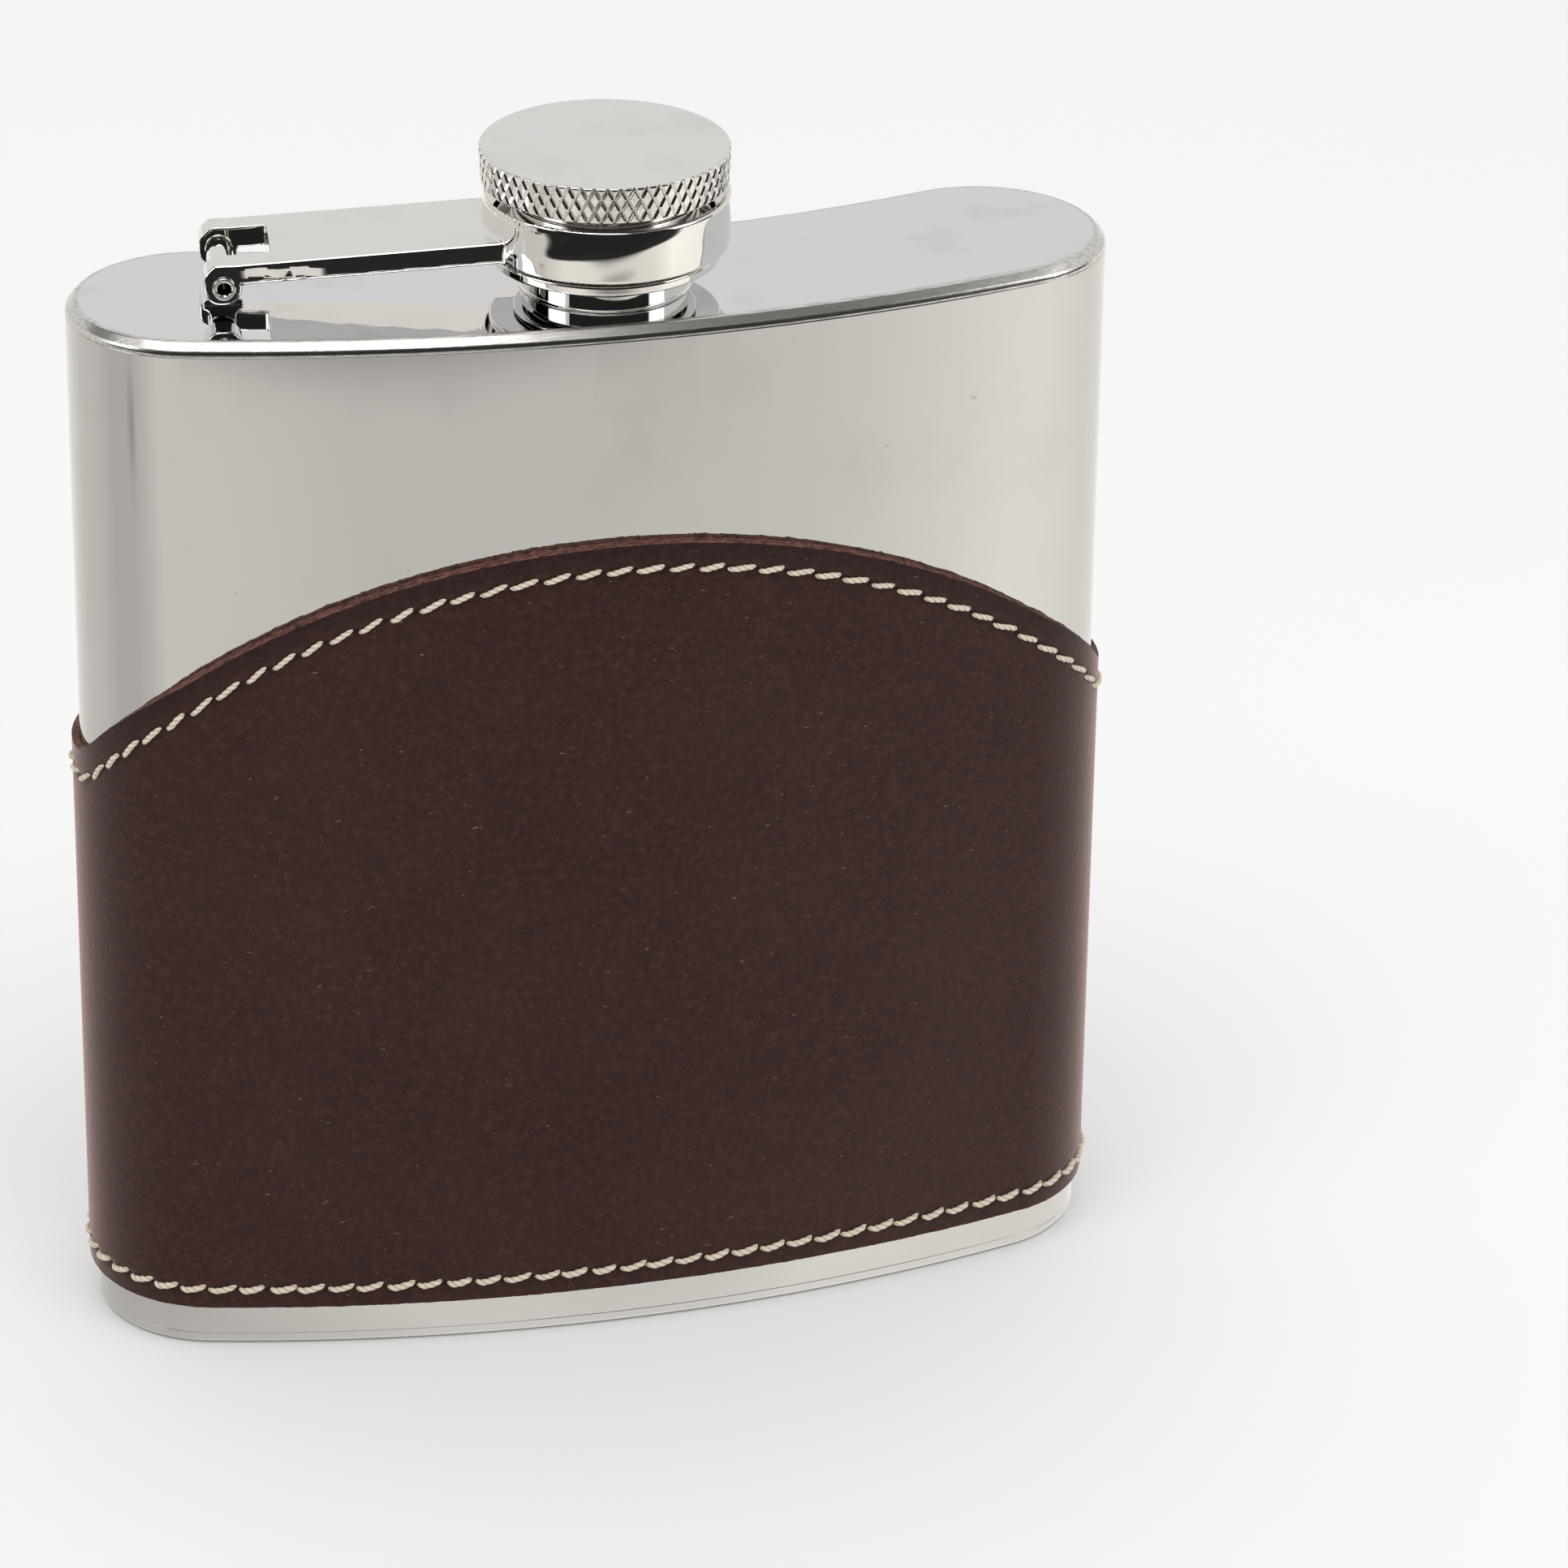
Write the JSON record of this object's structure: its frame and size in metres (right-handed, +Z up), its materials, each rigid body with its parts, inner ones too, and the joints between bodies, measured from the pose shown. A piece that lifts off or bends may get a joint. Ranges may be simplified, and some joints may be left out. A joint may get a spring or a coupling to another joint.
{
  "type": "hip flask",
  "caption": "Curved steel hip flask with a captive knurled screw cap on a hinged arm and a stitched leather wrap with an arched upper edge.",
  "frame": {"origin": "middle of the bottom of the bounding box, on the plane that the flask stands on", "axes": "+Z up through the neck, +X along the width and away from the hinge, -Y out of the bowed front face"},
  "size_m": [0.0946, 0.0288, 0.1102],
  "materials": {
    "polished_steel": "stainless steel, mirror polished, with faint smudges and hairlines",
    "satin_steel": "stainless steel, satin face and machined diamond knurl",
    "chrome": "bright plated casting",
    "leather": "dark brown vegetable-tanned leather, smooth, raw cut edges",
    "thread": "natural waxed thread, two-ply",
    "gasket": "soft food-grade rubber"
  },
  "bodies": {
    "flask": {"body_wall": "polished_steel", "top_plate": "polished_steel", "bottom_plate": "polished_steel", "neck": "polished_steel", "hinge_lug": "polished_steel", "hinge_pin": "chrome", "leather_wrap": "leather", "top_stitching": "thread", "bottom_stitching": "thread"},
    "arm": {"cap_arm": "chrome"},
    "cap_carrier": {"retaining_ring": "chrome"},
    "cap": {"cap_head": "satin_steel", "cap_insert": "satin_steel", "cap_gasket": "gasket"}
  },
  "joints": [
    {"name": "arm_swing", "type": "hinge", "parent": "flask", "child": "arm", "pos_m": [-0.0326, 0.0021, 0.10035], "axis": [-0.1334, -0.9911, 0], "range_deg": [0, 170]},
    {"name": "cap_lift", "type": "slide", "parent": "arm", "child": "cap_carrier", "axis": [0, 0, 1], "range_m": [0, 0.003]},
    {"name": "cap_turn", "type": "hinge", "parent": "cap_carrier", "child": "cap", "pos_m": [0, -0.00229, 0.1075], "axis": [0, 0, 1], "range_deg": [0, 720]}
  ],
  "couplings": [
    {"joint": "cap_lift", "follows": "cap_turn", "m_per_rad": 0.0002387}
  ]
}
